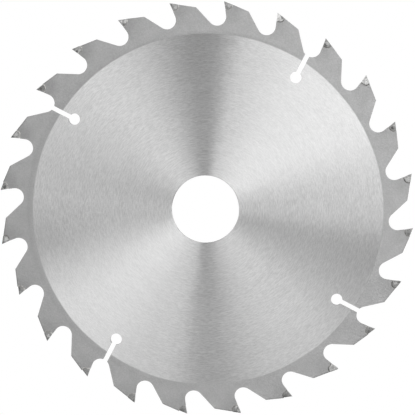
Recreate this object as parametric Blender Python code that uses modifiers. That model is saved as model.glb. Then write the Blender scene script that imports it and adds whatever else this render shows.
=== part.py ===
# Circular saw blade with brazed carbide tips, lying flat.
# Metres, +Z up. The origin is the centre of the bore, halfway through the plate.
# Seen from above, the blade cuts counter-clockwise: every rake face looks that way.

from math import asin, atan2, copysign, cos, pi, radians, sin, tan

import bmesh
import bpy
from mathutils import Matrix, Vector

MM = 0.001

# Disc
BLADE_DIAMETER = 185.0 * MM
BORE_DIAMETER = 30.0 * MM
BORE_CHAMFER = 0.2 * MM
PLATE_THICKNESS = 1.6 * MM
KERF_WIDTH = 2.6 * MM

# Teeth. Slopes are measured from the tangent at the cutting point, the hook and the lean from its radius.
TOOTH_COUNT = 24
FIRST_TIP_AZIMUTH = radians(9.9)
HOOK_ANGLE = radians(15.3)
LAND_SLOPE = radians(18.4)
LAND_LENGTH = 11.9 * MM
SHOULDER_RADIUS = 0.6 * MM
BACK_SLOPE = radians(56.9)
GULLET_RADIUS = 4.0 * MM
FRONT_LEAN = radians(12.5)
FRONT_LEDGE = 0.08 * MM

# Carbide tips, and the seats that they are brazed into
TIP_HEIGHT = 3.75 * MM
TIP_THICKNESS = 3.0 * MM
TIP_CORNER_RADIUS = 1.4 * MM
TIP_CLEARANCE = radians(16.5)
TOP_BEVEL = radians(15.0)
SIDE_CLEARANCE = radians(2.5)
RADIAL_CLEARANCE = radians(1.5)
SEAT_GAP = 0.3 * MM

# Expansion slots. The depth runs from the gullet's floor to the centre of the round end.
SLOT_COUNT = 4
SLOT_FIRST_TOOTH = 3
SLOT_WIDTH = 2.1 * MM
SLOT_LEAN = radians(6.1)
SLOT_DEPTH = 10.65 * MM
SLOT_HOLE_DIAMETER = 5.1 * MM

# How finely round shapes are divided, and how much of a straight run one rounded corner may use
ARC_STEP = radians(9.0)
HOLE_STEP = radians(12.0)
BORE_SEGMENTS = 120
RUN_SHARE = 0.9
SHARP_EDGE = radians(30.0)

MERGE_DISTANCE = 0.001 * MM
TIP_RADIUS = BLADE_DIAMETER / 2
PITCH = 2 * pi / TOOTH_COUNT


def clear_scene():
    for obj in list(bpy.data.objects):
        bpy.data.objects.remove(obj)


def new_collection(name):
    collection = bpy.data.collections.new(name)
    bpy.context.scene.collection.children.link(collection)
    return collection


def bare_metal(name, colour, roughness):
    material = bpy.data.materials.new(name)
    material.use_nodes = True
    shader = material.node_tree.nodes["Principled BSDF"]
    shader.inputs["Base Color"].default_value = (*colour, 1.0)
    shader.inputs["Metallic"].default_value = 1.0
    shader.inputs["Roughness"].default_value = roughness
    material.diffuse_color = (*colour, 1.0)
    return material


# Plane geometry

def heading(angle):
    return Vector((cos(angle), sin(angle)))


def turned(point, angle):
    return Matrix.Rotation(angle, 2) @ point


def cross(a, b):
    return a.x * b.y - a.y * b.x


def crossing(point_a, way_a, point_b, way_b):
    """Where two lines meet, each given by a point and a direction."""
    return point_a + way_a * (cross(point_b - point_a, way_b) / cross(way_a, way_b))


def fillet(before, corner, after, radius):
    """Centre, start and turn of the arc that rounds a corner and stays on the straight runs beside it."""
    into = corner - before
    out = after - corner
    turn = atan2(cross(into, out), into.dot(out))
    reach = min(radius * tan(abs(turn) / 2), RUN_SHARE * min(into.length, out.length))
    start = corner - into.normalized() * reach
    to_centre = turned(into.normalized(), copysign(pi / 2, turn))
    return start + to_centre * (reach / tan(abs(turn) / 2)), start, turn


def rounded_outline(corners, step):
    """The points of a closed outline, from corners given as (point, radius)."""
    points = []
    for i, (corner, radius) in enumerate(corners):
        if radius == 0:
            points.append(corner)
            continue
        before = corners[i - 1][0]
        after = corners[(i + 1) % len(corners)][0]
        centre, start, turn = fillet(before, corner, after, radius)
        count = max(2, round(abs(turn) / step))
        points += [centre + turned(start - centre, turn * j / count) for j in range(count + 1)]
    return points


# One tooth, drawn with its cutting point straight above the centre of the bore

CUTTING_POINT = Vector((0.0, TIP_RADIUS))
DOWN_FACE = heading(HOOK_ANGLE - pi / 2)
INTO_TOOTH = heading(HOOK_ANGLE)
DOWN_FRONT = heading(FRONT_LEAN - pi / 2)
ALONG_LAND = heading(-LAND_SLOPE)
DOWN_BACK = heading(-BACK_SLOPE)


def face_foot():
    return CUTTING_POINT + DOWN_FACE * TIP_HEIGHT


def inner_corner(clearance):
    """The corner between the tip's bottom and back, or that of its seat when a clearance is added."""
    return face_foot() + DOWN_FACE * clearance + INTO_TOOTH * (TIP_THICKNESS + clearance)


def front_point():
    """A point of the plate's front edge, which stands a little ahead of the carbide's face."""
    return face_foot() - INTO_TOOTH * FRONT_LEDGE


def seat_front():
    return crossing(inner_corner(SEAT_GAP), INTO_TOOTH, front_point(), DOWN_FRONT)


def seat_top():
    return crossing(inner_corner(SEAT_GAP), DOWN_FACE, CUTTING_POINT, ALONG_LAND)


def shoulder():
    return CUTTING_POINT + ALONG_LAND * LAND_LENGTH


def gullet_vertex():
    """Where the back of the tooth ahead would meet this tooth's front edge if no gullet rounded them."""
    return crossing(turned(shoulder(), PITCH), turned(DOWN_BACK, PITCH), front_point(), DOWN_FRONT)


def gullet_circle():
    """Centre and radius of the gullet's arc, ahead of the tooth."""
    centre, start, _ = fillet(seat_front(), gullet_vertex(), turned(shoulder(), PITCH), GULLET_RADIUS)
    return centre, (start - centre).length


def tooth_corners():
    """One tooth's corners, from its shoulder over the seat and down its front to the gullet."""
    return [
        (shoulder(), SHOULDER_RADIUS),
        (seat_top(), 0),
        (inner_corner(SEAT_GAP), TIP_CORNER_RADIUS + SEAT_GAP),
        (seat_front(), 0),
        (gullet_vertex(), GULLET_RADIUS),
    ]


def tooth_turn(index):
    """How far the drawn tooth is turned about the bore to stand in its place."""
    return FIRST_TIP_AZIMUTH - pi / 2 + PITCH * index


# Flat pieces

def flat_mesh(name, outline, thickness):
    """A closed mesh of an outline, with half of its thickness on each side of the mid-plane."""
    curve = bpy.data.curves.new(name, "CURVE")
    curve.dimensions = "2D"
    curve.fill_mode = "BOTH"
    curve.extrude = thickness / 2
    spline = curve.splines.new("POLY")
    spline.points.add(len(outline) - 1)
    for point, place in zip(spline.points, outline):
        point.co = (place.x, place.y, 0.0, 1.0)
    spline.use_cyclic_u = True
    guide = bpy.data.objects.new(name, curve)
    bpy.context.scene.collection.objects.link(guide)
    depsgraph = bpy.context.evaluated_depsgraph_get()
    mesh = bpy.data.meshes.new_from_object(guide.evaluated_get(depsgraph))
    mesh.transform(guide.matrix_world)
    bpy.data.curves.remove(curve)
    bm = bmesh.new()
    bm.from_mesh(mesh)
    bmesh.ops.remove_doubles(bm, verts=bm.verts, dist=MERGE_DISTANCE)
    bmesh.ops.recalc_face_normals(bm, faces=bm.faces)
    bm.to_mesh(mesh)
    bm.free()
    return mesh


def shade(mesh):
    """Smooth walls with their true corners kept, and flat faces above and below."""
    mesh.shade_smooth()
    mesh.set_sharp_from_angle(angle=SHARP_EDGE)
    for face in mesh.polygons:
        face.use_smooth = abs(face.normal.z) < cos(SHARP_EDGE)


def add_object(name, mesh, collection):
    mesh.name = name
    obj = bpy.data.objects.new(name, mesh)
    collection.objects.link(obj)
    return obj


def cut(target, cutter):
    cutter.hide_render = True
    cutter.display_type = "WIRE"
    modifier = target.modifiers.new(cutter.name, "BOOLEAN")
    modifier.operation = "DIFFERENCE"
    modifier.solver = "EXACT"
    modifier.object = cutter


# The plate, and what is cut out of it

def plate_outline():
    """The whole rim, counter-clockwise: every tooth's corners, turned to their place."""
    corners = []
    for index in range(TOOTH_COUNT):
        turn = tooth_turn(index)
        corners += [(turned(point, turn), radius) for point, radius in tooth_corners()]
    return rounded_outline(corners, ARC_STEP)


def bore_cutter(collection):
    """A turned plug that flares at both faces of the plate, so that the bore's edges are chamfered."""
    radius = BORE_DIAMETER / 2
    face = PLATE_THICKNESS / 2
    straight = face - BORE_CHAMFER
    reach = 2 * face
    flared = radius + reach - straight
    profile = [(0, reach), (flared, reach), (radius, straight), (radius, -straight), (flared, -reach), (0, -reach)]
    mesh = bpy.data.meshes.new("bore_cutter")
    mesh.from_pydata([(x, 0, z) for x, z in profile], [(i, i + 1) for i in range(len(profile) - 1)], [])
    cutter = add_object("bore_cutter", mesh, collection)
    lathe = cutter.modifiers.new("lathe", "SCREW")
    lathe.steps = BORE_SEGMENTS
    lathe.render_steps = BORE_SEGMENTS
    lathe.use_merge_vertices = True
    lathe.merge_threshold = MERGE_DISTANCE
    return cutter


def slot_outline():
    """A keyhole: a straight slot that runs inwards from the gullet's floor to a round end."""
    centre, gullet_radius = gullet_circle()
    mouth = centre.normalized() * (centre.length - gullet_radius)
    along = turned(centre.normalized(), SLOT_LEAN)
    side = turned(along, pi / 2) * (SLOT_WIDTH / 2)
    top = mouth + along * (gullet_radius / 2)
    hole = mouth - along * SLOT_DEPTH
    half_opening = asin(SLOT_WIDTH / SLOT_HOLE_DIAMETER)
    first = atan2(along.y, along.x) + half_opening
    sweep = 2 * (pi - half_opening)
    count = round(sweep / HOLE_STEP)
    round_end = [hole + heading(first + sweep * i / count) * (SLOT_HOLE_DIAMETER / 2) for i in range(count + 1)]
    return [top - side, top + side] + round_end


def slot_cutter(number, collection):
    tooth = SLOT_FIRST_TOOTH + number * TOOTH_COUNT // SLOT_COUNT
    outline = [turned(point, tooth_turn(tooth)) for point in slot_outline()]
    name = f"slot_cutter_{number + 1}"
    mesh = flat_mesh(name, outline, 2 * PLATE_THICKNESS)
    shade(mesh)
    return add_object(name, mesh, collection)


def blade_plate(collection, cutters, material):
    mesh = flat_mesh("blade_plate", plate_outline(), PLATE_THICKNESS)
    mesh.materials.append(material)
    shade(mesh)
    plate = add_object("blade_plate", mesh, collection)
    cut(plate, bore_cutter(cutters))
    for number in range(SLOT_COUNT):
        cut(plate, slot_cutter(number, cutters))


# Carbide tips

def grind(bm, point, normal):
    """Takes off all that lies past a plane, on the side that its normal points to, and closes the cut."""
    everything = bm.verts[:] + bm.edges[:] + bm.faces[:]
    result = bmesh.ops.bisect_plane(
        bm, geom=everything, dist=MERGE_DISTANCE, plane_co=point, plane_no=normal, clear_outer=True
    )
    rim = [item for item in result["geom_cut"] if isinstance(item, bmesh.types.BMEdge)]
    bmesh.ops.holes_fill(bm, edges=rim)


def grind_sides(bm):
    """Both sides taper inwards and backwards from the corners of the cutting edge."""
    for side in (1, -1):
        corner = CUTTING_POINT.to_3d() + Vector((0, 0, side * KERF_WIDTH / 2))
        backwards = INTO_TOOTH.to_3d() * tan(SIDE_CLEARANCE)
        inwards = DOWN_FACE.to_3d() * tan(RADIAL_CLEARANCE)
        grind(bm, corner, Vector((0, 0, side)) + backwards + inwards)


def grind_top(bm, high_side):
    """The top falls away behind the cutting edge, which slopes down from its corner on the high side."""
    corner = CUTTING_POINT.to_3d() + Vector((0, 0, high_side * KERF_WIDTH / 2))
    along_top = heading(-TIP_CLEARANCE).to_3d()
    along_edge = Vector((0, 0, -high_side)) + DOWN_FACE.to_3d() * tan(TOP_BEVEL)
    grind(bm, corner, along_top.cross(along_edge) * high_side)


def carbide_tip(index, collection, material):
    """A blank, oversize at its top and sides, ground to size and turned to its tooth."""
    stock = KERF_WIDTH - PLATE_THICKNESS
    blank_top = CUTTING_POINT - DOWN_FACE * stock
    corners = [
        (blank_top, 0),
        (face_foot(), 0),
        (inner_corner(0), TIP_CORNER_RADIUS),
        (blank_top + INTO_TOOTH * TIP_THICKNESS, 0),
    ]
    name = f"carbide_tip_{index + 1:02d}"
    mesh = flat_mesh(name, rounded_outline(corners, ARC_STEP), KERF_WIDTH + stock)
    bm = bmesh.new()
    bm.from_mesh(mesh)
    grind_sides(bm)
    grind_top(bm, 1 if index % 2 == 0 else -1)
    bmesh.ops.rotate(bm, cent=(0, 0, 0), matrix=Matrix.Rotation(tooth_turn(index), 3, "Z"), verts=bm.verts)
    bmesh.ops.recalc_face_normals(bm, faces=bm.faces)
    bm.to_mesh(mesh)
    bm.free()
    mesh.materials.append(material)
    shade(mesh)
    add_object(name, mesh, collection)


def build():
    clear_scene()
    parts = new_collection("circular_saw_blade")
    cutters = new_collection("cutters")
    steel = bare_metal("saw_steel", (0.55, 0.55, 0.54), 0.35)
    carbide = bare_metal("tungsten_carbide", (0.30, 0.30, 0.31), 0.30)
    blade_plate(parts, cutters, steel)
    for index in range(TOOTH_COUNT):
        carbide_tip(index, parts, carbide)


build()
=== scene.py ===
# %% [markdown]
# # A carbide-tipped circular saw blade, dressed for its picture
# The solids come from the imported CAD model: one steel plate with its bore, gullets and expansion slots, and
# 24 carbide tips. This lesson gives them the finishes of a real blade, adds the braze that holds the tips,
# and lights the blade the way a product picture does. Lengths are in metres, in the CAD model's own frame.

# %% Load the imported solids
from math import cos, pi, radians, sin, tan

import bmesh
import bpy
from mathutils import Matrix, Vector, noise


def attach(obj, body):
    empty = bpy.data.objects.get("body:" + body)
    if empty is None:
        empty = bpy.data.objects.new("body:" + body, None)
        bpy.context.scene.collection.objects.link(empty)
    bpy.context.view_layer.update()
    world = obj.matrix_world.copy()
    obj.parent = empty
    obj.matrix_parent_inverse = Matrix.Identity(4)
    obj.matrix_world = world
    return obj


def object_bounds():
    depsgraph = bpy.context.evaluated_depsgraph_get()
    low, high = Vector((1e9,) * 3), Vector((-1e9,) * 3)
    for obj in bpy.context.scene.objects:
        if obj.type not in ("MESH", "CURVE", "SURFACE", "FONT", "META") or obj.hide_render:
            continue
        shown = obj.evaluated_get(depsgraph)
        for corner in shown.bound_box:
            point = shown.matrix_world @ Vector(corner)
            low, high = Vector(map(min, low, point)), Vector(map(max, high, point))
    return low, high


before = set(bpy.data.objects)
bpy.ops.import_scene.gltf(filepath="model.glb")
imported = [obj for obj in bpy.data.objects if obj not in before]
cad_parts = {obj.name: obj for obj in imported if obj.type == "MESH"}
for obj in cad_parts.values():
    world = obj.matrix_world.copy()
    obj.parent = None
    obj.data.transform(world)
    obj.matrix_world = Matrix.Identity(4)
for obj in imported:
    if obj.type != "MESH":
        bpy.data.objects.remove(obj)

MM = 0.001
cad_low, cad_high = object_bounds()
print("CAD box in mm:", [round(side / MM, 2) for side in cad_high - cad_low])
print("solids in it:", len(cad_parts))

# %% [markdown]
# ## Sizes taken over from the CAD model
# The braze has to fit the joint between each tip and its seat, so the sizes of that joint are repeated here.
# They could be measured on the meshes, but the named sizes are what a drawing gives, and they are exact.
# One tooth is drawn with its cutting point straight above the bore, and then turned to each of its 24 places.

# %% Sizes of the teeth
TOOTH_COUNT = 24
PITCH = 2 * pi / TOOTH_COUNT
TIP_RADIUS = 92.5 * MM
FIRST_TIP_AZIMUTH = radians(9.9)
HOOK_ANGLE = radians(15.3)
TIP_HEIGHT = 3.75 * MM
TIP_THICKNESS = 3.0 * MM
TIP_CORNER_RADIUS = 1.4 * MM
TIP_CLEARANCE = radians(16.5)
TOP_BEVEL = radians(15)
LAND_SLOPE = radians(18.4)
SEAT_GAP = 0.3 * MM
PLATE_THICKNESS = 1.6 * MM
KERF_WIDTH = 2.6 * MM


def heading(angle):
    """A direction in the plane of the blade."""
    return Vector((cos(angle), sin(angle), 0.0))


def tooth_turn(index):
    """How far the drawn tooth is turned about the bore to stand in its place."""
    return FIRST_TIP_AZIMUTH - pi / 2 + PITCH * index


CUTTING_POINT = Vector((0.0, TIP_RADIUS, 0.0))
DOWN_FACE = heading(HOOK_ANGLE - pi / 2)
INTO_TOOTH = heading(HOOK_ANGLE)
LAND_NORMAL = heading(pi / 2 - LAND_SLOPE)
print("pitch of the teeth:", 360 / TOOTH_COUNT, "degrees; a tip is", round(TIP_HEIGHT / MM, 2), "mm high")

# %% [markdown]
# ## Colours and nodes
# Colours are given as sRGB hex codes, as a paint chart gives them, while Blender's shaders calculate with
# linear light, so one function turns the one into the other. Materials can be clicked together in the shader
# editor. Here one function adds a node of any kind, sets its options, and fills or links its sockets, so that
# each material reads from top to bottom as a short list.

# %% Helpers for colours and nodes
def linear(code):
    """An sRGB hex code as linear red, green and blue."""
    parts = [int(code[i:i + 2], 16) / 255 for i in (0, 2, 4)]
    return tuple(c / 12.92 if c <= 0.04045 else ((c + 0.055) / 1.055) ** 2.4 for c in parts)


def add_node(tree, kind, inputs=(), output=0, **settings):
    """Adds a node and returns one of its outputs. An input is a plain value or the output that feeds it."""
    node = tree.nodes.new("ShaderNode" + kind)
    for name, value in settings.items():
        setattr(node, name, value)
    for socket, value in inputs.items() if isinstance(inputs, dict) else enumerate(inputs):
        if isinstance(value, bpy.types.NodeSocket):
            tree.links.new(value, node.inputs[socket])
        else:
            node.inputs[socket].default_value = value
    return node.outputs[output] if node.outputs else node


def new_material(name):
    """An empty material and its node tree."""
    material = bpy.data.materials.new(name)
    material.use_nodes = True
    material.node_tree.nodes.clear()
    return material, material.node_tree


print("mid grey 808080 is", round(linear("808080")[0], 3), "in linear light")

# %% [markdown]
# ## Patterns that make a finish
# A finish is a base colour times a few patterns: grain, clouds, a stain, painted shade. Each pattern is a
# factor close to 1, so they can be multiplied in any order, and a stain or a patch of painted shade is a
# share that is taken off. Image textures could hold such patterns too, but noise from nodes has no edges and
# no limit of detail, and its size is given in millimetres. Patterns lie flat on the blade, as if seen from
# above, where the height is left out.

# %% Lumps, products, stains and painted shade
# Noise could reach from 0 to 1, but it mostly keeps between these.
NOISE_LOW, NOISE_HIGH = 0.3, 0.7


def flattened(tree, place):
    """The point with its height left out."""
    return add_node(tree, "VectorMath", (place, (1.0, 1.0, 0.0)), operation="MULTIPLY")


def mottle(tree, place, size, detail, low, high):
    """Soft lumps of the given size, as a factor from low to high."""
    lumps = add_node(tree, "TexNoise", {"Vector": place, "Scale": 1 / size, "Detail": detail})
    return add_node(tree, "MapRange", (lumps, NOISE_LOW, NOISE_HIGH, low, high))


def combined(tree, *factors):
    """The tone that several patterns make together."""
    tone = factors[0]
    for factor in factors[1:]:
        tone = add_node(tree, "Math", (tone, factor), operation="MULTIPLY")
    return tone


def darkened(tree, tone, *shares):
    """The tone with the share of each stain and each patch of painted shade taken off."""
    for share in shares:
        kept = add_node(tree, "Math", (1.0, share), operation="SUBTRACT")
        tone = combined(tree, tone, kept)
    return tone


print("a stain of 0.1 and one of 0.2 leave", round((1 - 0.1) * (1 - 0.2), 2), "of the light")

# %% [markdown]
# ## The rings that the finishes follow
# A saw plate is ground while it spins, so every scratch runs in a ring round the bore. The patterns need to
# know, at each point, how far out it lies and which way is outwards. That could come from a UV map, but two
# vector nodes read it straight from the Object coordinates, because the bore's centre is the origin. Noise
# that is stretched along whole rings would get longer and slower towards the rim, so the plate is treated as
# a row of narrow bands, and within a band the streaks have one length.

# %% Radius, outward direction and bands
BORE_RADIUS = 15 * MM
BAND_WIDTH = 7 * MM


def ring_frame(tree):
    """The point, its distance from the bore's axis, and the direction straight away from that axis."""
    place = add_node(tree, "TexCoord", output="Object")
    flat = flattened(tree, place)
    radius = add_node(tree, "VectorMath", (flat,), "Value", operation="LENGTH")
    return place, radius, add_node(tree, "VectorMath", (flat,), operation="NORMALIZE")


def ring_place(tree, radius, outward, width, length):
    """The point in a pattern drawn out along the rings, where a lump of size 1 is so wide and so long."""
    band = add_node(tree, "Math", (radius, BAND_WIDTH), operation="SNAP")
    turns = add_node(tree, "Math", (band, length), operation="DIVIDE")
    along = add_node(tree, "VectorMath", {0: outward, "Scale": turns}, operation="SCALE")
    rings = add_node(tree, "Math", (radius, width), operation="DIVIDE")
    across = add_node(tree, "CombineXYZ", {"Z": rings})
    return add_node(tree, "VectorMath", (along, across), operation="ADD")


def towards(tree, outward, degrees):
    """1 on the side of the blade that faces the given way, 0 at right angles to it and beyond."""
    way = heading(radians(degrees))
    share = add_node(tree, "VectorMath", (outward, way), "Value", operation="DOT_PRODUCT")
    return add_node(tree, "Math", (share, 0.0), operation="MAXIMUM")


print("bands from the bore to the tips:", round((TIP_RADIUS - BORE_RADIUS) / BAND_WIDTH))

# %% [markdown]
# ## Saw steel: the ring scratches
# The plate is hardened tool steel. Its centre was ground flat on a spinning table, which leaves fine ring
# scratches. They could be cut as bump, but they are finer than a pixel. They are drawn as thin light and
# dark streaks instead, coarser than the real ones so that they show, and most strongly between the bright
# fans of light. Where a scratch wanders a little from its ring it catches light from beside it, so the
# direction that the gloss follows swings a little to either side.

# %% Contrast and direction of the scratches
SCRATCH_WIDTH = 0.36 * MM
SCRATCH_LENGTH = 2.0 * MM
WANDER_LENGTH = 1.8 * MM
# How far a direction lies from the axes, as the product of its X and Y: 0 on an axis, 0.5 halfway.
NEAR_AXIS, FAR_FROM_AXIS = 0.1, 0.4
BRIGHT_CONTRAST = 0.08
DARK_CONTRAST = 0.12
SLANT_CONTRAST = 0.035
SCRATCH_SWING = 0.045


# Painted light: the streaks' contrast follows where the fans of light fall on the plate, and not the light
# itself.
def scratch_contrast(tree, outward):
    """How strongly the scratches show: less halfway between the axes, and least in the two brightest fans."""
    parts = add_node(tree, "SeparateXYZ", (outward,)).node.outputs
    slant = add_node(tree, "Math", (parts["X"], parts["Y"]), operation="MULTIPLY")
    between = add_node(tree, "Math", (slant,), operation="ABSOLUTE")
    contrast = add_node(tree, "MapRange", (between, NEAR_AXIS, FAR_FROM_AXIS, DARK_CONTRAST, BRIGHT_CONTRAST))
    return add_node(tree, "Math", (slant, -SLANT_CONTRAST, contrast), operation="MULTIPLY_ADD")


def scratch_tangent(tree, radius, outward):
    """Straight outwards, but swung a little to either side where a scratch wanders."""
    place = ring_place(tree, radius, outward, SCRATCH_WIDTH, WANDER_LENGTH)
    wander = mottle(tree, place, 1.0, 1.0, -SCRATCH_SWING, SCRATCH_SWING)
    along = add_node(tree, "VectorMath", ((0.0, 0.0, 1.0), outward), operation="CROSS_PRODUCT")
    swing = add_node(tree, "VectorMath", {0: along, "Scale": wander}, operation="SCALE")
    return add_node(tree, "VectorMath", (outward, swing), operation="ADD")


print("streaks:", round(SCRATCH_WIDTH / MM, 2), "mm wide and about", round(SCRATCH_LENGTH / MM, 1), "mm long")

# %% [markdown]
# ## Saw steel: the ground centre
# Light spreads far across the scratches and hardly along them, and that draws the bright and dark fans
# from the bore to the rim. The fans could be painted on, but they would stay put when the light moves.
# Anisotropy, with its tangent pointing outwards, draws them from the light itself. Over the streaks lie
# fine marks of the grit, also coarser than real ones, broad soft bands, and a few soft darker patches near
# the rim, each on one side.

# %% The ground finish
GROUND_STEEL = linear("D4D4D4")
GROUND_ROUGHNESS = 0.28
GROUND_RADIUS = 78.03 * MM
GRIT_SIZE = 0.45 * MM
GRIT_CONTRAST = 0.045
BROAD_WIDTH = 3 * MM
BROAD_LENGTH = 14 * MM
BROAD_CONTRAST = 0.02
# Each darker patch: the side in degrees, how narrow it is, where it starts as a share of the radius, its
# depth.
DARKER_PATCHES = ((295, 1, 0.7, 0.06), (192, 150, 0.55, 0.13), (95, 40, 0.3, 0.12))


def darker_patch(tree, radius, outward, side, narrowness, start, depth):
    """A soft patch on one side that deepens towards the edge of the ground face."""
    outer = add_node(tree, "MapRange", (radius, start * GROUND_RADIUS, GROUND_RADIUS, 0.0, depth))
    lobe = add_node(tree, "Math", (towards(tree, outward, side), narrowness), operation="POWER")
    return combined(tree, outer, lobe)


def ground_shader(tree, place, radius, outward):
    """Bright ring-ground steel: clear fans of light with a fine, silky streak."""
    fine = mottle(tree, ring_place(tree, radius, outward, SCRATCH_WIDTH, SCRATCH_LENGTH), 1.0, 1.0, -1.0, 1.0)
    streaks = add_node(tree, "Math", (fine, scratch_contrast(tree, outward), 1.0), operation="MULTIPLY_ADD")
    grit = mottle(tree, place, GRIT_SIZE, 1.0, 1 - GRIT_CONTRAST, 1 + GRIT_CONTRAST)
    broad_place = ring_place(tree, radius, outward, BROAD_WIDTH, BROAD_LENGTH)
    broad = mottle(tree, broad_place, 1.0, 2.0, 1 - BROAD_CONTRAST, 1 + BROAD_CONTRAST)
    patches = [darker_patch(tree, radius, outward, *row) for row in DARKER_PATCHES]
    tone = darkened(tree, combined(tree, streaks, grit, broad), *patches)
    return add_node(tree, "BsdfPrincipled", {
        "Base Color": add_node(tree, "VectorMath", {0: GROUND_STEEL, "Scale": tone}, operation="SCALE"),
        "Metallic": 1.0, "Roughness": GROUND_ROUGHNESS, "Anisotropic": 1.0,
        "Tangent": scratch_tangent(tree, radius, outward),
    })


print("ground face:", round(2 * GROUND_RADIUS / MM, 1), "mm across")

# %% [markdown]
# ## Where a point lies on its tooth
# Brazing heat and the painted shade along the lands follow each tooth, so their patterns have to come back 24
# times. Each tooth could get its own nodes, but that would be 24 copies. Instead the point is turned about
# the bore by whole pitches until it lies on the tooth that is drawn upright, and from there one pattern
# serves all the teeth.

# %% The nearest tooth, turned upright
def nearest_tooth(tree, place):
    """The point as seen from the cutting point of the tooth it lies on, with that tooth turned upright."""
    parts = add_node(tree, "SeparateXYZ", (place,)).node.outputs
    azimuth = add_node(tree, "Math", (parts["Y"], parts["X"]), operation="ARCTAN2")
    past_first = add_node(tree, "Math", (azimuth, FIRST_TIP_AZIMUTH), operation="SUBTRACT")
    pitches = add_node(tree, "Math", (past_first, PITCH), operation="DIVIDE")
    tooth = add_node(tree, "Math", (pitches,), operation="CEIL")
    turn = add_node(tree, "Math", (tooth, -PITCH, -tooth_turn(0)), operation="MULTIPLY_ADD")
    upright = add_node(tree, "VectorRotate", {"Vector": place, "Angle": turn}, rotation_type="Z_AXIS")
    return add_node(tree, "VectorMath", (upright, CUTTING_POINT), operation="SUBTRACT")


print("teeth that share one pattern:", TOOTH_COUNT)

# %% [markdown]
# ## Saw steel: heat tint round each tip, and painted shade on one side
# Brazing heat tints the steel for a few millimetres round each tip. The tint is deeper on one side of the
# blade than on the other, and that extra depth is painted shade. The tint could be painted, but drawn from
# the tooth's own sizes it sits exactly where the heat was. Its edge is ragged, because heat creeps unevenly.

# %% Heat patches
TIP_MIDDLE = (1.2 * MM, -1.8 * MM, 0.0)
HEAT_START = 4 * MM
HEAT_END = 9.5 * MM
HEAT_LUMP = 3 * MM
HEAT_RAGGED = 0.7 * MM
# The tint's depth away from the shaded side and facing it; the extra depth facing it is painted shade.
HEAT_AND_SHADE_DEPTHS = (0.095, 0.19)
# The side of the blade that gets painted shade, on the rim and in the heat tint, in degrees.
SHADED_SIDE = 150


def heat_tint_and_shade(tree, from_point, outward):
    """How much darker the steel is round the tip, as far as the brazing heat reached, and deeper on one side
    as painted shade.
    """
    flat = flattened(tree, from_point)
    gap = add_node(tree, "VectorMath", (flat, TIP_MIDDLE), "Value", operation="DISTANCE")
    ragged = mottle(tree, from_point, HEAT_LUMP, 2.0, -HEAT_RAGGED, HEAT_RAGGED)
    reach = add_node(tree, "Math", (gap, ragged), operation="ADD")
    share = add_node(tree, "MapRange", (reach, HEAT_START, HEAT_END, 1.0, 0.0))
    depth = add_node(tree, "MapRange", (towards(tree, outward, SHADED_SIDE), 0.0, 1.0, *HEAT_AND_SHADE_DEPTHS))
    return combined(tree, share, depth)


print("heat reaches", round(HEAT_END / MM, 1), "mm from the middle of a tip")

# %% [markdown]
# ## Saw steel: painted shade along the lands and beside the ground face
# Along the lands, where the back of each tooth is ground, an eased edge would mirror dark surroundings on
# most sides, so a thin broken dark line of painted shade runs there. And right outside the ground face lies a
# soft line of painted shade, where the grinding wheel ran off the plate. Both could be thin strips laid on
# the plate, but painted shade has no thickness. So each is a share taken off the tone: one from the distance
# to the land, the other from the distance to the ground face's edge.

# %% Lines on the rim
LINE_WIDTH = 0.6 * MM
LINE_LUMP = 2 * MM
LINE_BREAKS = (0.4, 1.2)
LINE_DEPTH = 0.55
# The side of the blade where the painted shade along the lands is darkest, in degrees.
LINE_SIDE = 235
FAINT_LINE = 0.15 * LINE_DEPTH
# The line grows from faint to full between these, measured as how far the side faces LINE_SIDE, from -1 to 1.
LINE_GROWTH = (-0.6, 0.2)
# Each ring of painted shade: the side in degrees, how far outside the ground face, its half width, its depth.
STEP_SHADES = ((95, 0.0, 1.6 * MM, 0.12), (185, 2.0 * MM, 1.4 * MM, 0.07))


def land_line(tree, from_point):
    """1 along the line of the land, down to 0 at a little way under it, and broken up along its length."""
    lift = add_node(tree, "VectorMath", (from_point, LAND_NORMAL), "Value", operation="DOT_PRODUCT")
    near = add_node(tree, "MapRange", (lift, -LINE_WIDTH, 0.0, 0.0, 1.0))
    return combined(tree, mottle(tree, from_point, LINE_LUMP, 2.0, *LINE_BREAKS), near)


def land_edge_shade(tree, from_point, outward):
    """Painted shade along the lands, darkest on the side of the blade that faces LINE_SIDE."""
    way = heading(radians(LINE_SIDE))
    side = add_node(tree, "VectorMath", (outward, way), "Value", operation="DOT_PRODUCT")
    depth = add_node(tree, "MapRange", (side, *LINE_GROWTH, FAINT_LINE, LINE_DEPTH))
    return combined(tree, land_line(tree, from_point), depth)


def step_shade(tree, outward, reach, side, offset, half_width, depth):
    """Painted shade: a soft dark ring beside the ground face, on one side of the blade."""
    past = add_node(tree, "Math", (reach, GROUND_RADIUS + offset), operation="SUBTRACT")
    away = add_node(tree, "Math", (past,), operation="ABSOLUTE")
    share = add_node(tree, "MapRange", (away, 0.0, half_width, depth, 0.0))
    return combined(tree, share, towards(tree, outward, side))


# The line along a land is painted shade.
print("worn line of a land:", round(LINE_WIDTH / MM, 1), "mm wide")

# %% [markdown]
# ## Saw steel: the blasted rim
# The rim beyond the ground face was left as it came from blasting and hardening: duller, darker and the same
# in all directions, with a fine pitted grain and soft clouds. One side is a little darker, and that is
# painted shade, where less light falls. The grain could be colour alone, but real pits also tilt the surface,
# so the same pattern feeds the bump. The pits of blasting grit are near 0.1 mm. They are drawn five times
# coarser, so that they show in the picture.

# %% The blasted finish
BLASTED_STEEL = linear("B2B2B2")
BLASTED_ROUGHNESS = (0.44, 0.4)
GRAIN_SIZE = 0.55 * MM
GRAIN_CONTRAST = 0.08
GRAIN_DEPTH = 0.15 * MM
CLOUD_SIZE = 5 * MM
CLOUD_CONTRAST = 0.035
SHADED_SIDE_TONE = 0.92


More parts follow.
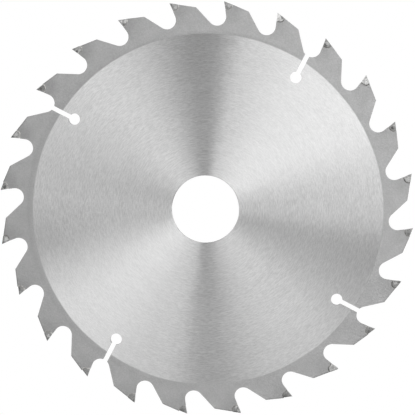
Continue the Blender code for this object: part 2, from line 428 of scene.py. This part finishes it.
def blasted_shader(tree, place, outward, reach):
    """Dull blasted steel: an even grey with a fine grain and no clear reflections."""
    grain = mottle(tree, place, GRAIN_SIZE, 2.0, 1 - GRAIN_CONTRAST, 1 + GRAIN_CONTRAST)
    clouds = mottle(tree, place, CLOUD_SIZE, 4.0, 1 - CLOUD_CONTRAST, 1 + CLOUD_CONTRAST)
    # Painted shade: the rim is darker on one side, where less light falls.
    side = add_node(tree, "MapRange", (towards(tree, outward, SHADED_SIDE), 0.0, 1.0, 1.0, SHADED_SIDE_TONE))
    from_point = nearest_tooth(tree, place)
    # The rings beside the ground face and the lines along the lands are painted shade; the heat tint is a
    # stain, deepened on one side by painted shade.
    lines = [step_shade(tree, outward, reach, *row) for row in STEP_SHADES]
    shade_and_tint = land_edge_shade(tree, from_point, outward), heat_tint_and_shade(tree, from_point, outward)
    tone = darkened(tree, combined(tree, grain, clouds, side), *lines, *shade_and_tint)
    return add_node(tree, "BsdfPrincipled", {
        "Base Color": add_node(tree, "VectorMath", {0: BLASTED_STEEL, "Scale": tone}, operation="SCALE"),
        "Metallic": 1.0, "Roughness": mottle(tree, place, CLOUD_SIZE, 4.0, *BLASTED_ROUGHNESS),
        "Normal": add_node(tree, "Bump", {"Height": grain, "Distance": GRAIN_DEPTH}),
    })


print("grain of the rim:", round(GRAIN_SIZE / MM, 2), "mm")

# %% [markdown]
# ## Saw steel: the laser-cut walls
# The walls of the teeth, gullets, slots and bore were cut by laser, straight through the plate. The beam
# leaves them dark with oxide, and ribbed from face to face. A ribbed wall could be modelled, but the ribs
# are a few hundredths of a millimetre deep, so they are bump. A pattern without the height gives them: it
# changes along the wall, and stays the same through the plate. Real ribs are 0.1 to 0.2 mm apart, and these
# are drawn at 0.35 mm, so that they show.

# %% The walls
CUT_STEEL = linear("454443")
CUT_ROUGHNESS = (0.56, 0.44)
RIB_SIZE = 0.35 * MM
RIB_CONTRAST = 0.25
RIB_DEPTH = 0.064 * MM


def cut_shader(tree, place):
    """Dark, ribbed steel: it shows as a thin dark line round the blade."""
    flat = flattened(tree, place)
    ribs = mottle(tree, flat, RIB_SIZE, 2.0, 1 - RIB_CONTRAST, 1 + RIB_CONTRAST)
    return add_node(tree, "BsdfPrincipled", {
        "Base Color": add_node(tree, "VectorMath", {0: CUT_STEEL, "Scale": ribs}, operation="SCALE"),
        "Metallic": 1.0, "Roughness": mottle(tree, flat, RIB_SIZE, 2.0, *CUT_ROUGHNESS),
        "Normal": add_node(tree, "Bump", {"Height": ribs, "Distance": RIB_DEPTH}),
    })


print("ribs on the walls:", round(RIB_SIZE / MM, 2), "mm apart")

# %% [markdown]
# ## The plate's three finishes together
# The plate is one solid, so its finishes share one material. Separate material slots on chosen faces could
# part them, but the ground face ends in the middle of large flat faces. So a Mix Shader parts them: the
# distance from the centre of the grinding decides between ground and blasted, with an edge that is slightly
# soft and not quite round, and the surface's own normal tells the walls from the two faces. The grinding
# lies 0.8 mm off the bore's centre, as it does on a real blade that is ground before its bore is finished.

# %% Saw steel on the plate
GROUND_CENTRE = (0.73 * MM, -0.29 * MM, 0.0)
GROUND_WOBBLE = 0.22 * MM
# The size of the wobble's lumps, as a share of the radius.
WOBBLE_SIZE = 1 / 2.2
EDGE_SOFTNESS = 0.25 * MM
# How upright the normal stands where walls end and where flat sides begin, from 0 to 1.
WALLS_END, FLATS_BEGIN = 0.4, 0.6


def ground_reach(tree, place, outward):
    """How far the point lies from the centre of the grinding, with the wobble of the ground face's edge."""
    shifted = add_node(tree, "VectorMath", (place, GROUND_CENTRE), operation="SUBTRACT")
    distance = add_node(tree, "VectorMath", (flattened(tree, shifted),), "Value", operation="LENGTH")
    wobble = mottle(tree, outward, WOBBLE_SIZE, 2.0, -GROUND_WOBBLE, GROUND_WOBBLE)
    return add_node(tree, "Math", (distance, wobble), operation="ADD")


def on_flat_side(tree):
    """1 on the blade's two flat sides, and 0 on the walls between them, told by the surface's own normal."""
    normal = add_node(tree, "NewGeometry", output="Normal")
    lean = add_node(tree, "Math", (add_node(tree, "SeparateXYZ", (normal,), "Z"),), operation="ABSOLUTE")
    return add_node(tree, "MapRange", (lean, WALLS_END, FLATS_BEGIN, 0.0, 1.0))


def saw_steel():
    """Hardened tool steel: a bright silky centre, a duller grey rim, and dark edges all round."""
    material, tree = new_material("saw_steel")
    place, radius, outward = ring_frame(tree)
    reach = ground_reach(tree, place, outward)
    edge = GROUND_RADIUS - EDGE_SOFTNESS, GROUND_RADIUS + EDGE_SOFTNESS
    on_rim = add_node(tree, "MapRange", (reach, *edge, 0.0, 1.0))
    ground, blasted = ground_shader(tree, place, radius, outward), blasted_shader(tree, place, outward, reach)
    faces = add_node(tree, "MixShader", (on_rim, ground, blasted))
    mix = add_node(tree, "MixShader", (on_flat_side(tree), cut_shader(tree, place), faces))
    add_node(tree, "OutputMaterial", {"Surface": mix})
    return material


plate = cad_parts["blade_plate"]
plate.data.materials.clear()
plate.data.materials.append(saw_steel())
print("nodes in the plate's material:", len(plate.data.materials[0].node_tree.nodes))

# %% [markdown]
# ## Tungsten carbide
# The tips are tungsten carbide, pressed and sintered, brazed on, and then ground with a diamond wheel. The
# grey is as light as steel where the wheel has just passed, and darker where flux and heat have stained it.
# Each tip's tone and marks also hold painted light and shade: tips on the side where more light falls are
# mostly lighter. One material could serve all the tips, but no two look alike, so each has its own from one
# function: a tone for the whole tip, the tone of its braze, and a few marks, given in millimetres back from
# the cutting point and down from it, with their radius and tone.

# %% How each tip looks
TONES = {
    "white": "E4E4E3", "bright": "CBCBCA", "light": "B6B6B5", "grey": "A0A09F", "dull": "888887",
    "dark": "6A6A69",
}
# Each tip's tone and marks: stains, together with painted light and shade as the light falls on that tip.
TIP_LOOKS = (
    ("light", "dark", (0.4, 1.6, 0.4, "dull"), (2.1, 2.0, 0.8, "bright")),
    ("grey", "dull", (2.0, 2.5, 0.6, "dark"), (1.2, 1.2, 0.5, "light"), (1.1, 3.3, 0.4, "dull")),
    ("bright", "dark back", (2.5, 1.9, 0.5, "white")),
    ("grey", "dull", (1.5, 3.3, 1.0, "dark"), (2.0, 1.5, 0.7, "light")),
    ("bright", "dark", (0.5, 1.0, 0.9, "white"), (2.8, 1.1, 0.7, "dull"), (2.0, 3.4, 0.5, "grey")),
    ("grey", "grey", (1.5, 3.1, 0.8, "dull"), (2.6, 1.8, 0.7, "light")),
    ("grey", "grey", (0.7, 1.4, 0.8, "dull"), (2.5, 2.4, 0.6, "light"), (1.4, 3.3, 0.5, "dull")),
    ("grey", "grey", (1.2, 1.2, 0.5, "bright"), (2.9, 2.0, 0.6, "bright"), (1.7, 3.5, 0.7, "dark")),
    ("grey", "dull", (1.0, 0.7, 0.6, "dull"), (0.9, 2.2, 0.6, "dark"), (2.4, 2.7, 0.6, "light")),
    ("dull", "grey", (1.7, 1.6, 0.6, "dark"), (1.8, 3.7, 0.4, "light")),
    ("grey", "grey", (0.4, 0.5, 0.5, "dark"), (2.2, 1.7, 0.7, "light"), (1.7, 3.8, 0.4, "bright")),
    ("grey", "dull", (1.7, 2.2, 0.7, "dark")),
    ("grey", "dark", (0.6, 0.6, 0.6, "dull"), (1.9, 2.4, 0.8, "bright"), (0.9, 3.2, 0.5, "dull")),
    ("grey", "dull", (0.6, 0.4, 0.5, "dark"), (1.9, 3.7, 0.5, "dark"), (2.4, 1.5, 0.7, "dull")),
    ("grey", "dull", (1.4, 2.0, 0.6, "bright"), (0.9, 0.6, 0.5, "dull"), (1.0, 3.2, 0.5, "dull")),
    ("grey", "grey", (0.4, 0.5, 0.5, "dark")),
    ("grey", "grey", (0.5, 0.4, 0.6, "dull"), (1.5, 3.8, 0.4, "white")),
    ("grey", "dull", (2.2, 1.7, 0.9, "dull")),
    ("grey", "dull", (0.9, 1.2, 0.5, "bright"), (1.5, 3.1, 0.7, "bright"), (2.3, 1.0, 0.7, "dull")),
    ("grey", "dark back", (2.6, 1.8, 0.8, "dull")),
    ("bright", "dark back", (1.6, 1.8, 0.7, "light")),
    ("grey", "dull", (2.6, 1.8, 0.7, "dull"), (0.9, 3.0, 0.5, "light")),
    ("grey", "dark", (0.5, 1.0, 0.6, "dull"), (1.6, 2.1, 0.6, "bright")),
    ("grey", "dull", (2.7, 1.7, 0.7, "dull"), (0.6, 0.9, 0.5, "bright")),
)
print("looks of the tips:", len(TIP_LOOKS))

# %% [markdown]
# ## Marks and painted shade on one tip
# A tip has marks of its own, and a line of painted shade along its top that runs on from the steel's. Every
# second tip slopes down to the side that is seen, so its line lies lower. The steep ends are painted darker
# than the sides, as painted shade. They could have a material of their own, but the surface's normal tells
# them apart and blends the edge.

# %% Marks, painted shade along the tops and on the steep ends
# The Mix node has inputs for numbers, vectors and colours. These are its two colours and their mixture.
COLOUR_A, COLOUR_B, MIXED_COLOUR = 6, 7, 2
MARK_LUMP = 0.7 * MM
RAGGED = 0.35 * MM
# A mark's edge, from where it is full to where it ends, as shares of its radius.
MARK_EDGE = (0.8, 1.15)
# How dark the painted shade on the steep ends is.
STEEP_FACE_SHADE_TONE = 0.45
LOW_EDGE_DROP = 0.5 * MM
# How strong the painted shade along a tip's top is, as it fades round the blade.
LEAST_EDGE_SHADE, MEAN_EDGE_SHADE, EDGE_SHADE_SWING = 0.1, 0.6, 0.9


def tooth_place(tree, index):
    """The point as seen from the cutting point of one tooth, with that tooth turned upright."""
    place = add_node(tree, "TexCoord", output="Object")
    upright = add_node(tree, "Mapping", {"Vector": place, "Rotation": (0.0, 0.0, -tooth_turn(index))})
    return add_node(tree, "VectorMath", (upright, CUTTING_POINT), operation="SUBTRACT")


def steep_face_shade(tree):
    """Painted shade: 1 on the flat sides, and less on the steep ends, across tip and seam."""
    return add_node(tree, "MapRange", (on_flat_side(tree), 0.0, 1.0, STEEP_FACE_SHADE_TONE, 1.0))


def marked(tree, colour, place, back, down, radius, tone):
    """The colour with one soft-edged mark on it."""
    middle = back * MM, -down * MM, 0.0
    gap = add_node(tree, "VectorMath", (flattened(tree, place), middle), "Value", operation="DISTANCE")
    ragged = mottle(tree, place, MARK_LUMP, 2.0, -RAGGED, RAGGED)
    reach = add_node(tree, "Math", (gap, ragged), operation="ADD")
    full, end = (share * radius * MM for share in MARK_EDGE)
    share = add_node(tree, "MapRange", (reach, full, end, 1.0, 0.0))
    mark = (*linear(TONES[tone]), 1.0)
    colours = {"Factor": share, COLOUR_A: colour, COLOUR_B: mark}
    return add_node(tree, "Mix", colours, MIXED_COLOUR, data_type="RGBA")


def tip_edge_shade(tree, place, index):
    """Painted shade along a tip's top edge. The line fades round the blade as the steel's does."""
    edge_drop = LAND_NORMAL * (LOW_EDGE_DROP if index % 2 else 0.0)
    from_edge = add_node(tree, "VectorMath", (place, edge_drop), operation="ADD")
    azimuth = tooth_turn(index) + pi / 2
    edge_shade_share = MEAN_EDGE_SHADE + EDGE_SHADE_SWING * cos(azimuth - radians(LINE_SIDE))
    return combined(tree, land_line(tree, from_edge), max(LEAST_EDGE_SHADE, min(1.0, edge_shade_share)) * LINE_DEPTH)


# The line along a tip's top is painted shade.
print("on every second tip the worn line lies", round(LOW_EDGE_DROP / MM, 1), "mm lower")

# %% [markdown]
# ## The carbide of one tip
# Sintered carbide has no grain that the eye can see. What shows is the mottling of flux, the marks and the
# line of painted shade, and the fine lines of the diamond wheel. Those lines could be colour, but real
# grooves catch the light, so they are bump. Real ones are a few hundredths of a millimetre apart, and these
# are drawn at 0.12 mm. A rough patch is also a dark one, so the roughness follows the mottling.

# %% The carbide finish
BLOTCH_SIZE = 0.8 * MM
BLOTCH_CONTRAST = 0.32
CARBIDE_ROUGHNESS = (0.42, 0.3)
WHEEL_LINE = 0.12 * MM
# How fast the pattern changes along the lines, against across them.
ALONG_LINES = 0.15
WHEEL_DEPTH = 0.004 * MM


def carbide(index, tone, marks):
    """Ground carbide: steel grey, satin, and mottled where it was stained."""
    material, tree = new_material(f"tungsten_carbide_{index + 1:02d}")
    place = tooth_place(tree, index)
    colour = (*linear(TONES[tone]), 1.0)
    for mark in marks:
        colour = marked(tree, colour, place, *mark)
    blotch = mottle(tree, place, BLOTCH_SIZE, 3.0, 1 - BLOTCH_CONTRAST, 1 + BLOTCH_CONTRAST)
    shade = darkened(tree, blotch, tip_edge_shade(tree, place, index))
    tinted = {0: colour, "Scale": combined(tree, shade, steep_face_shade(tree))}
    across_lines = add_node(tree, "VectorMath", (place, (ALONG_LINES, 1.0, 1.0)), operation="MULTIPLY")
    wheel_lines = mottle(tree, across_lines, WHEEL_LINE, 1.0, 0.0, 1.0)
    shader = add_node(tree, "BsdfPrincipled", {
        "Base Color": add_node(tree, "VectorMath", tinted, operation="SCALE"),
        "Metallic": 1.0, "Roughness": mottle(tree, place, BLOTCH_SIZE, 3.0, *CARBIDE_ROUGHNESS),
        "Normal": add_node(tree, "Bump", {"Height": wheel_lines, "Distance": WHEEL_DEPTH}),
    })
    add_node(tree, "OutputMaterial", {"Surface": shader})
    return material


for index, (tone, _, *marks) in enumerate(TIP_LOOKS):
    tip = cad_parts[f"carbide_tip_{index + 1:02d}"]
    tip.data.materials.clear()
    tip.data.materials.append(carbide(index, tone, marks))
print("tips finished:", len(TIP_LOOKS), "with", sum(len(look) - 2 for look in TIP_LOOKS), "marks")

# %% [markdown]
# ## Silver braze
# Each tip is soldered into its seat with silver braze, which sets bright and is dulled by flux: dark on some
# teeth, dull grey on others, and on a few dark only up the back. It could be one flat grey, but the clean
# metal shows through in flecks, smoother than the flux round them, and the whole is slightly lumpy. Its
# end was ground with the tip's, and it gets the same painted shade there.

# %% The braze's finish
CLEAN_BRAZE = (*linear("BDBCB9"), 1.0)
# Each tone: its colour, how bare the flecks are, and how bare the foot of the seam is.
BRAZE_TONES = {
    "dark": ("747371", 0.4, 0.0), "dark back": ("6E6D6B", 0.3, 0.8), "dull": ("8E8D8B", 0.9, 0.0),
    "grey": ("A2A19F", 1.0, 0.0),
}
FLECK_SIZE = 1.4 * MM
FLECK_EDGE = (0.5, 0.62)
FOOT = (-3.9 * MM, -2.9 * MM)
BRAZE_ROUGHNESS = (0.52, 0.46)
BRAZE_LUMP = 0.4 * MM
BRAZE_LUMP_DEPTH = 0.024 * MM


def braze(index, tone):
    """Dull solder with brighter flecks: it draws the thin line that rings each tip."""
    material, tree = new_material(f"silver_braze_{index + 1:02d}")
    place = tooth_place(tree, index)
    code, bareness, foot_bareness = BRAZE_TONES[tone]
    height = add_node(tree, "SeparateXYZ", (place,), "Y")
    foot = add_node(tree, "MapRange", (height, *FOOT, foot_bareness, 0.0))
    flecks = add_node(tree, "TexNoise", {"Vector": place, "Scale": 1 / FLECK_SIZE, "Detail": 2.0})
    clean = add_node(tree, "MapRange", (flecks, *FLECK_EDGE, foot, bareness))
    colours = {"Factor": clean, COLOUR_A: (*linear(code), 1.0), COLOUR_B: CLEAN_BRAZE}
    flecked = add_node(tree, "Mix", colours, MIXED_COLOUR, data_type="RGBA")
    lumps = mottle(tree, place, BRAZE_LUMP, 3.0, 0.0, 1.0)
    shader = add_node(tree, "BsdfPrincipled", {
        "Base Color": add_node(tree, "VectorMath", {0: flecked, "Scale": steep_face_shade(tree)}, operation="SCALE"),
        "Metallic": 1.0, "Roughness": add_node(tree, "MapRange", (clean, 0.0, 1.0, *BRAZE_ROUGHNESS)),
        "Normal": add_node(tree, "Bump", {"Height": lumps, "Distance": BRAZE_LUMP_DEPTH}),
    })
    add_node(tree, "OutputMaterial", {"Surface": shader})
    return material


print("tones of the braze:", ", ".join(BRAZE_TONES))

# %% [markdown]
# ## The seam's section
# The braze fills the joint through the plate as a thin film, and runs out into a small hollow fillet on both
# faces, in the corner between the plate and the tip's proud side. A tube bent along the joint would be quick,
# but it would be round. So the seam's own section is drawn, as if the joint were cut across.

# %% Points round the section
FILM_HALF = 0.145 * MM
FILLET_REACH = 0.3 * MM
FILLET_RISE = 0.25 * MM
FILLET_STEPS = 4
TUCK = 0.01 * MM


def seam_section():
    """The outline of the seam cut across: each point's way out from the joint's middle, and its height."""
    face = PLATE_THICKNESS / 2
    upper = []
    for step in range(FILLET_STEPS + 1):
        share = step / FILLET_STEPS
        out = -FILM_HALF + (FILLET_REACH + FILM_HALF) * share
        upper.append((out, face + FILLET_RISE * (1 - share) ** 2))
    upper += [(FILLET_REACH, face - TUCK), (FILM_HALF, face - TUCK)]
    return upper + [(out, -height) for out, height in reversed(upper)]


print("points round the seam's section:", len(seam_section()))

# %% [markdown]
# ## The seam along the joint
# The joint runs along the tip's bottom, round its corner and up its back. A curve with a bevel object could
# follow it, but the corner has to match the seat exactly. So the section is extruded along the bottom, spun
# round the corner's own centre, and extruded up the back, past the top.

# %% Pulled, spun and pulled again
RUN_STEPS = 4
CORNER_STEPS = 8


def pull(bm, edges, way, steps):
    """Draws a loop of edges along a straight way and returns the loop at its far end."""
    for _ in range(steps):
        made = bmesh.ops.extrude_edge_only(bm, edges=edges)["geom"]
        bmesh.ops.translate(bm, verts=[v for v in made if isinstance(v, bmesh.types.BMVert)], vec=way / steps)
        edges = [e for e in made if isinstance(e, bmesh.types.BMEdge)]
        edges = [e for e in edges if len(e.link_faces) == 1]
    return edges


def swept_seam():
    """One seam on the upright tooth, closed at its foot and still open at its upper end."""
    bm = bmesh.new()
    run = INTO_TOOTH * (TIP_THICKNESS - TIP_CORNER_RADIUS)
    start = CUTTING_POINT + DOWN_FACE * (TIP_HEIGHT + SEAT_GAP / 2)
    ring = [bm.verts.new(start + DOWN_FACE * out + Vector((0, 0, height))) for out, height in seam_section()]
    first = [bm.edges.new((ring[i - 1], ring[i])) for i in range(len(ring))]
    edges = pull(bm, first, run, RUN_STEPS)
    centre = start + run - DOWN_FACE * (TIP_CORNER_RADIUS + SEAT_GAP / 2)
    turned = bmesh.ops.spin(
        bm, geom=edges, cent=centre, axis=(0, 0, 1), dvec=(0, 0, 0), angle=pi / 2, steps=CORNER_STEPS,
        use_duplicate=False,
    )
    edges = [e for e in turned["geom_last"] if isinstance(e, bmesh.types.BMEdge)]
    pull(bm, edges, -DOWN_FACE * TIP_HEIGHT, 2 * RUN_STEPS)
    bmesh.ops.holes_fill(bm, edges=first)
    return bm


trial = swept_seam()
print("faces along one joint:", len(trial.faces))
trial.free()

# %% [markdown]
# ## Settled and ground off
# Solder never lies even: the fillets are lower in some places than in others, by a noise that differs from
# tip to tip. After brazing, the wheel that grinds the tip's bevelled top takes the end of the seam with it,
# and the plate's land takes the rest. The end could be sculpted, but two cuts by a plane do what the wheel
# does, and each hole is closed at once.

# %% Uneven fillets and a ground end
LUMP_SIZE = 1.1 * MM
LUMPINESS = 0.6
LUMPS_APART = 10
MERGE_DISTANCE = 1e-7


def settle(bm, index):
    """Lowers the fillets here and there, and leaves the film in the joint as it is."""
    face = PLATE_THICKNESS / 2
    for vert in bm.verts:
        over = abs(vert.co.z) - face
        if over > 0:
            lump = noise.noise(vert.co / LUMP_SIZE + Vector((0, 0, LUMPS_APART * index)))
            vert.co.z *= (face + over * (1 - LUMPINESS * abs(lump))) / abs(vert.co.z)


def grind_end(bm, high_side):
    """Cuts the seam's end off along the plate's land, and along the tip's top, which slopes to one side."""
    corner = CUTTING_POINT + Vector((0, 0, high_side * KERF_WIDTH / 2))
    down_edge = Vector((0, 0, -high_side)) + DOWN_FACE * tan(TOP_BEVEL)
    bevel = heading(-TIP_CLEARANCE).cross(down_edge) * high_side
    for point, normal in ((CUTTING_POINT, LAND_NORMAL), (corner, bevel)):
        cut = bmesh.ops.bisect_plane(
            bm, geom=bm.verts[:] + bm.edges[:] + bm.faces[:], plane_co=point, plane_no=normal,
            clear_outer=True, dist=MERGE_DISTANCE,
        )
        bmesh.ops.holes_fill(bm, edges=[e for e in cut["geom_cut"] if isinstance(e, bmesh.types.BMEdge)])
    bmesh.ops.recalc_face_normals(bm, faces=bm.faces)


lowest_rise = FILLET_RISE * (1 - LUMPINESS)
print("fillets rise from", round(lowest_rise / MM, 2), "to", round(FILLET_RISE / MM, 2), "mm")

# %% [markdown]
# ## A seam for each tip
# The seam is made 24 times, turned to its tooth and linked. Copies of one mesh would do for the shape, but
# the lumps and the side that the bevel slopes to differ. Smooth shading rounds the fillet, and edges sharper
# than 35 degrees stay sharp, so that the ground end stays flat.

# %% Twenty-four seams
SHARP_ANGLE = radians(35)


def braze_seam(index, tone):
    """The seam of one tip, in its place. Every second tip slopes to the other side."""
    bm = swept_seam()
    settle(bm, index)
    grind_end(bm, 1 if index % 2 == 0 else -1)
    bmesh.ops.rotate(bm, cent=(0, 0, 0), matrix=Matrix.Rotation(tooth_turn(index), 3, "Z"), verts=bm.verts)
    mesh = bpy.data.meshes.new(f"braze_seam_{index + 1:02d}")
    bm.to_mesh(mesh)
    bm.free()
    mesh.materials.append(braze(index, tone))
    mesh.shade_smooth()
    mesh.set_sharp_from_angle(angle=SHARP_ANGLE)
    seam = bpy.data.objects.new(mesh.name, mesh)
    bpy.context.scene.collection.objects.link(seam)
    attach(seam, "root")
    return seam


seams = [braze_seam(index, look[1]) for index, look in enumerate(TIP_LOOKS)]
print("seams:", len(seams), "faces each:", len(seams[0].data.polygons))

# %% [markdown]
# ## The table
# The blade lies on a table of opal acrylic that is lit from below, as product photographers use it. Its own
# light drowns every shadow, so the ground round the blade turns pure white. An Emission shader of strength 1
# gives exactly that white. A white board under lamps could do it too, but it would come out brighter than
# white, and that eats into the blade's edges, where each pixel holds some of both.

# %% Light table
TABLE_HALF_WIDTH = 2.0


def light_table():
    """Opal acrylic lit from below: an even white with no shadow on it."""
    material, tree = new_material("lit_opal_acrylic")
    glow = add_node(tree, "Emission", {"Color": (1.0, 1.0, 1.0, 1.0), "Strength": 1.0})
    add_node(tree, "OutputMaterial", {"Surface": glow})
    bm = bmesh.new()
    bmesh.ops.create_grid(bm, x_segments=1, y_segments=1, size=TABLE_HALF_WIDTH)
    bmesh.ops.translate(bm, verts=bm.verts, vec=(0, 0, cad_low.z))
    mesh = bpy.data.meshes.new("light_table")
    bm.to_mesh(mesh)
    bm.free()
    mesh.materials.append(material)
    table = bpy.data.objects.new("light_table", mesh)
    bpy.context.scene.collection.objects.link(table)


light_table()
print("table top at z =", round(cad_low.z / MM, 3), "mm")

# %% [markdown]
# ## Light round the blade
# Ring scratches mirror what stands round the blade, so the fans on the plate are a picture of the studio. A
# few softboxes could be modelled and moved about until the fans fit. Here the world is painted instead with
# a ramp round the compass, where each stop is an angle and a brightness.

# %% The compass
SEAM_OF_RAMP = 195
COMPASS = (
    (195, 0.0), (206, 0.0), (216, 0.8), (226, 0.92), (236, 0.61), (246, 0.6), (256, 0.98), (264, 0.46),
    (270, 0.62), (276, 1.06), (290, 0.86), (308, 0.78), (322, 0.0), (342, 0.0), (350, 2.14), (360, 1.72),
    (380, 2.36), (400, 1.72), (420, 1.9), (436, 1.4), (442, 2.22), (448, 0.0), (454, 0.0), (466, 0.0),
    (476, 0.49), (492, 1.26), (510, 1.24), (526, 1.5), (538, 1.38), (546, 0.31), (555, 0.0),
)
BRIGHTEST = 2.5


def paint_compass(elements):
    """Sets the ramp's stops, as shares of the way round and of the brightest light."""
    for i, (degrees, level) in enumerate(COMPASS):
        position = (degrees - SEAM_OF_RAMP) / 360
        stop = elements[i] if i < 2 else elements.new(position)
        stop.position = position
        stop.color = (level / BRIGHTEST, level / BRIGHTEST, level / BRIGHTEST, 1.0)


print("stops round the compass:", len(COMPASS))

# %% [markdown]
# ## The studio round it
# The ramp goes round the whole sky, and its light fades out towards the horizon. Lamps could be added, but
# the ramp alone gives the steel all that it mirrors. The camera itself sees plain white behind the table,
# because a picture from the side looks past its edge.

# %% The studio's surroundings
HORIZON_LIGHT = 0.2
FULL_LIGHT_FROM = radians(35)


def studio():
    """The painted surroundings that the steel mirrors."""
    world = bpy.data.worlds.new("studio")
    bpy.context.scene.world = world
    world.use_nodes = True
    tree = world.node_tree
    tree.nodes.clear()
    parts = add_node(tree, "SeparateXYZ", (add_node(tree, "TexCoord", output="Generated"),)).node.outputs
    angle = add_node(tree, "Math", (parts["Y"], parts["X"]), operation="ARCTAN2")
    turns = add_node(tree, "Math", (angle, 2 * pi), operation="DIVIDE")
    from_seam = add_node(tree, "Math", (turns, 1 - SEAM_OF_RAMP / 360), operation="ADD")
    round_trip = add_node(tree, "Math", (from_seam,), operation="FRACT")
    compass = add_node(tree, "ValToRGB", (round_trip,))
    paint_compass(compass.node.color_ramp.elements)
    climb = add_node(tree, "Math", (parts["Z"],), operation="ARCSINE")
    fade = add_node(tree, "MapRange", (climb, 0.0, FULL_LIGHT_FROM, HORIZON_LIGHT, 1.0))
    strength = combined(tree, fade, BRIGHTEST)
    light = add_node(tree, "Background", {"Color": compass, "Strength": strength})
    backdrop = add_node(tree, "Background", {"Color": (1.0, 1.0, 1.0, 1.0), "Strength": 1.0})
    seen = add_node(tree, "LightPath", output="Is Camera Ray")
    mix = add_node(tree, "MixShader", (seen, light, backdrop))
    add_node(tree, "OutputWorld", {"Surface": mix})


studio()
print("at the horizon the light is", HORIZON_LIGHT, "of the full light")

# %% [markdown]
# ## The camera
# The picture is taken from almost straight above, 0.7 m up and a few centimetres to one side, with a long
# lens. It could be placed by eye, but its place and turn were worked out from the bore, the slots and the
# teeth, so they are given as numbers: a turn about one slanting axis, in degrees along X, Y and Z.

# %% Camera
CAMERA_PLACE = Vector((34 * MM, 37 * MM, 700 * MM))
CAMERA_TURN = Vector((radians(-2.963), radians(2.706), radians(0.0816)))
LENS_IN_WIDTHS = 1576.31 / 415
SENSOR_WIDTH = 36.0
NEAREST_SEEN = 0.05


def set_camera():
    """Sets up the camera and returns its optics."""
    data = bpy.data.cameras.new("camera")
    data.sensor_width = SENSOR_WIDTH
    data.lens = LENS_IN_WIDTHS * SENSOR_WIDTH
    data.clip_start = NEAREST_SEEN
    camera = bpy.data.objects.new("camera", data)
    bpy.context.scene.collection.objects.link(camera)
    turn = Matrix.Rotation(CAMERA_TURN.length, 4, CAMERA_TURN.normalized())
    camera.matrix_world = Matrix.Translation(CAMERA_PLACE) @ turn
    bpy.context.scene.camera = camera
    return data


print("lens in mm:", round(set_camera().lens, 1))

# %% [markdown]
# ## Greys as they are
# The Standard view shows a colour as it was worked out. Filmic views keep more of the highlights, but they
# would grey the white table.

bpy.context.scene.view_settings.view_transform = "Standard"
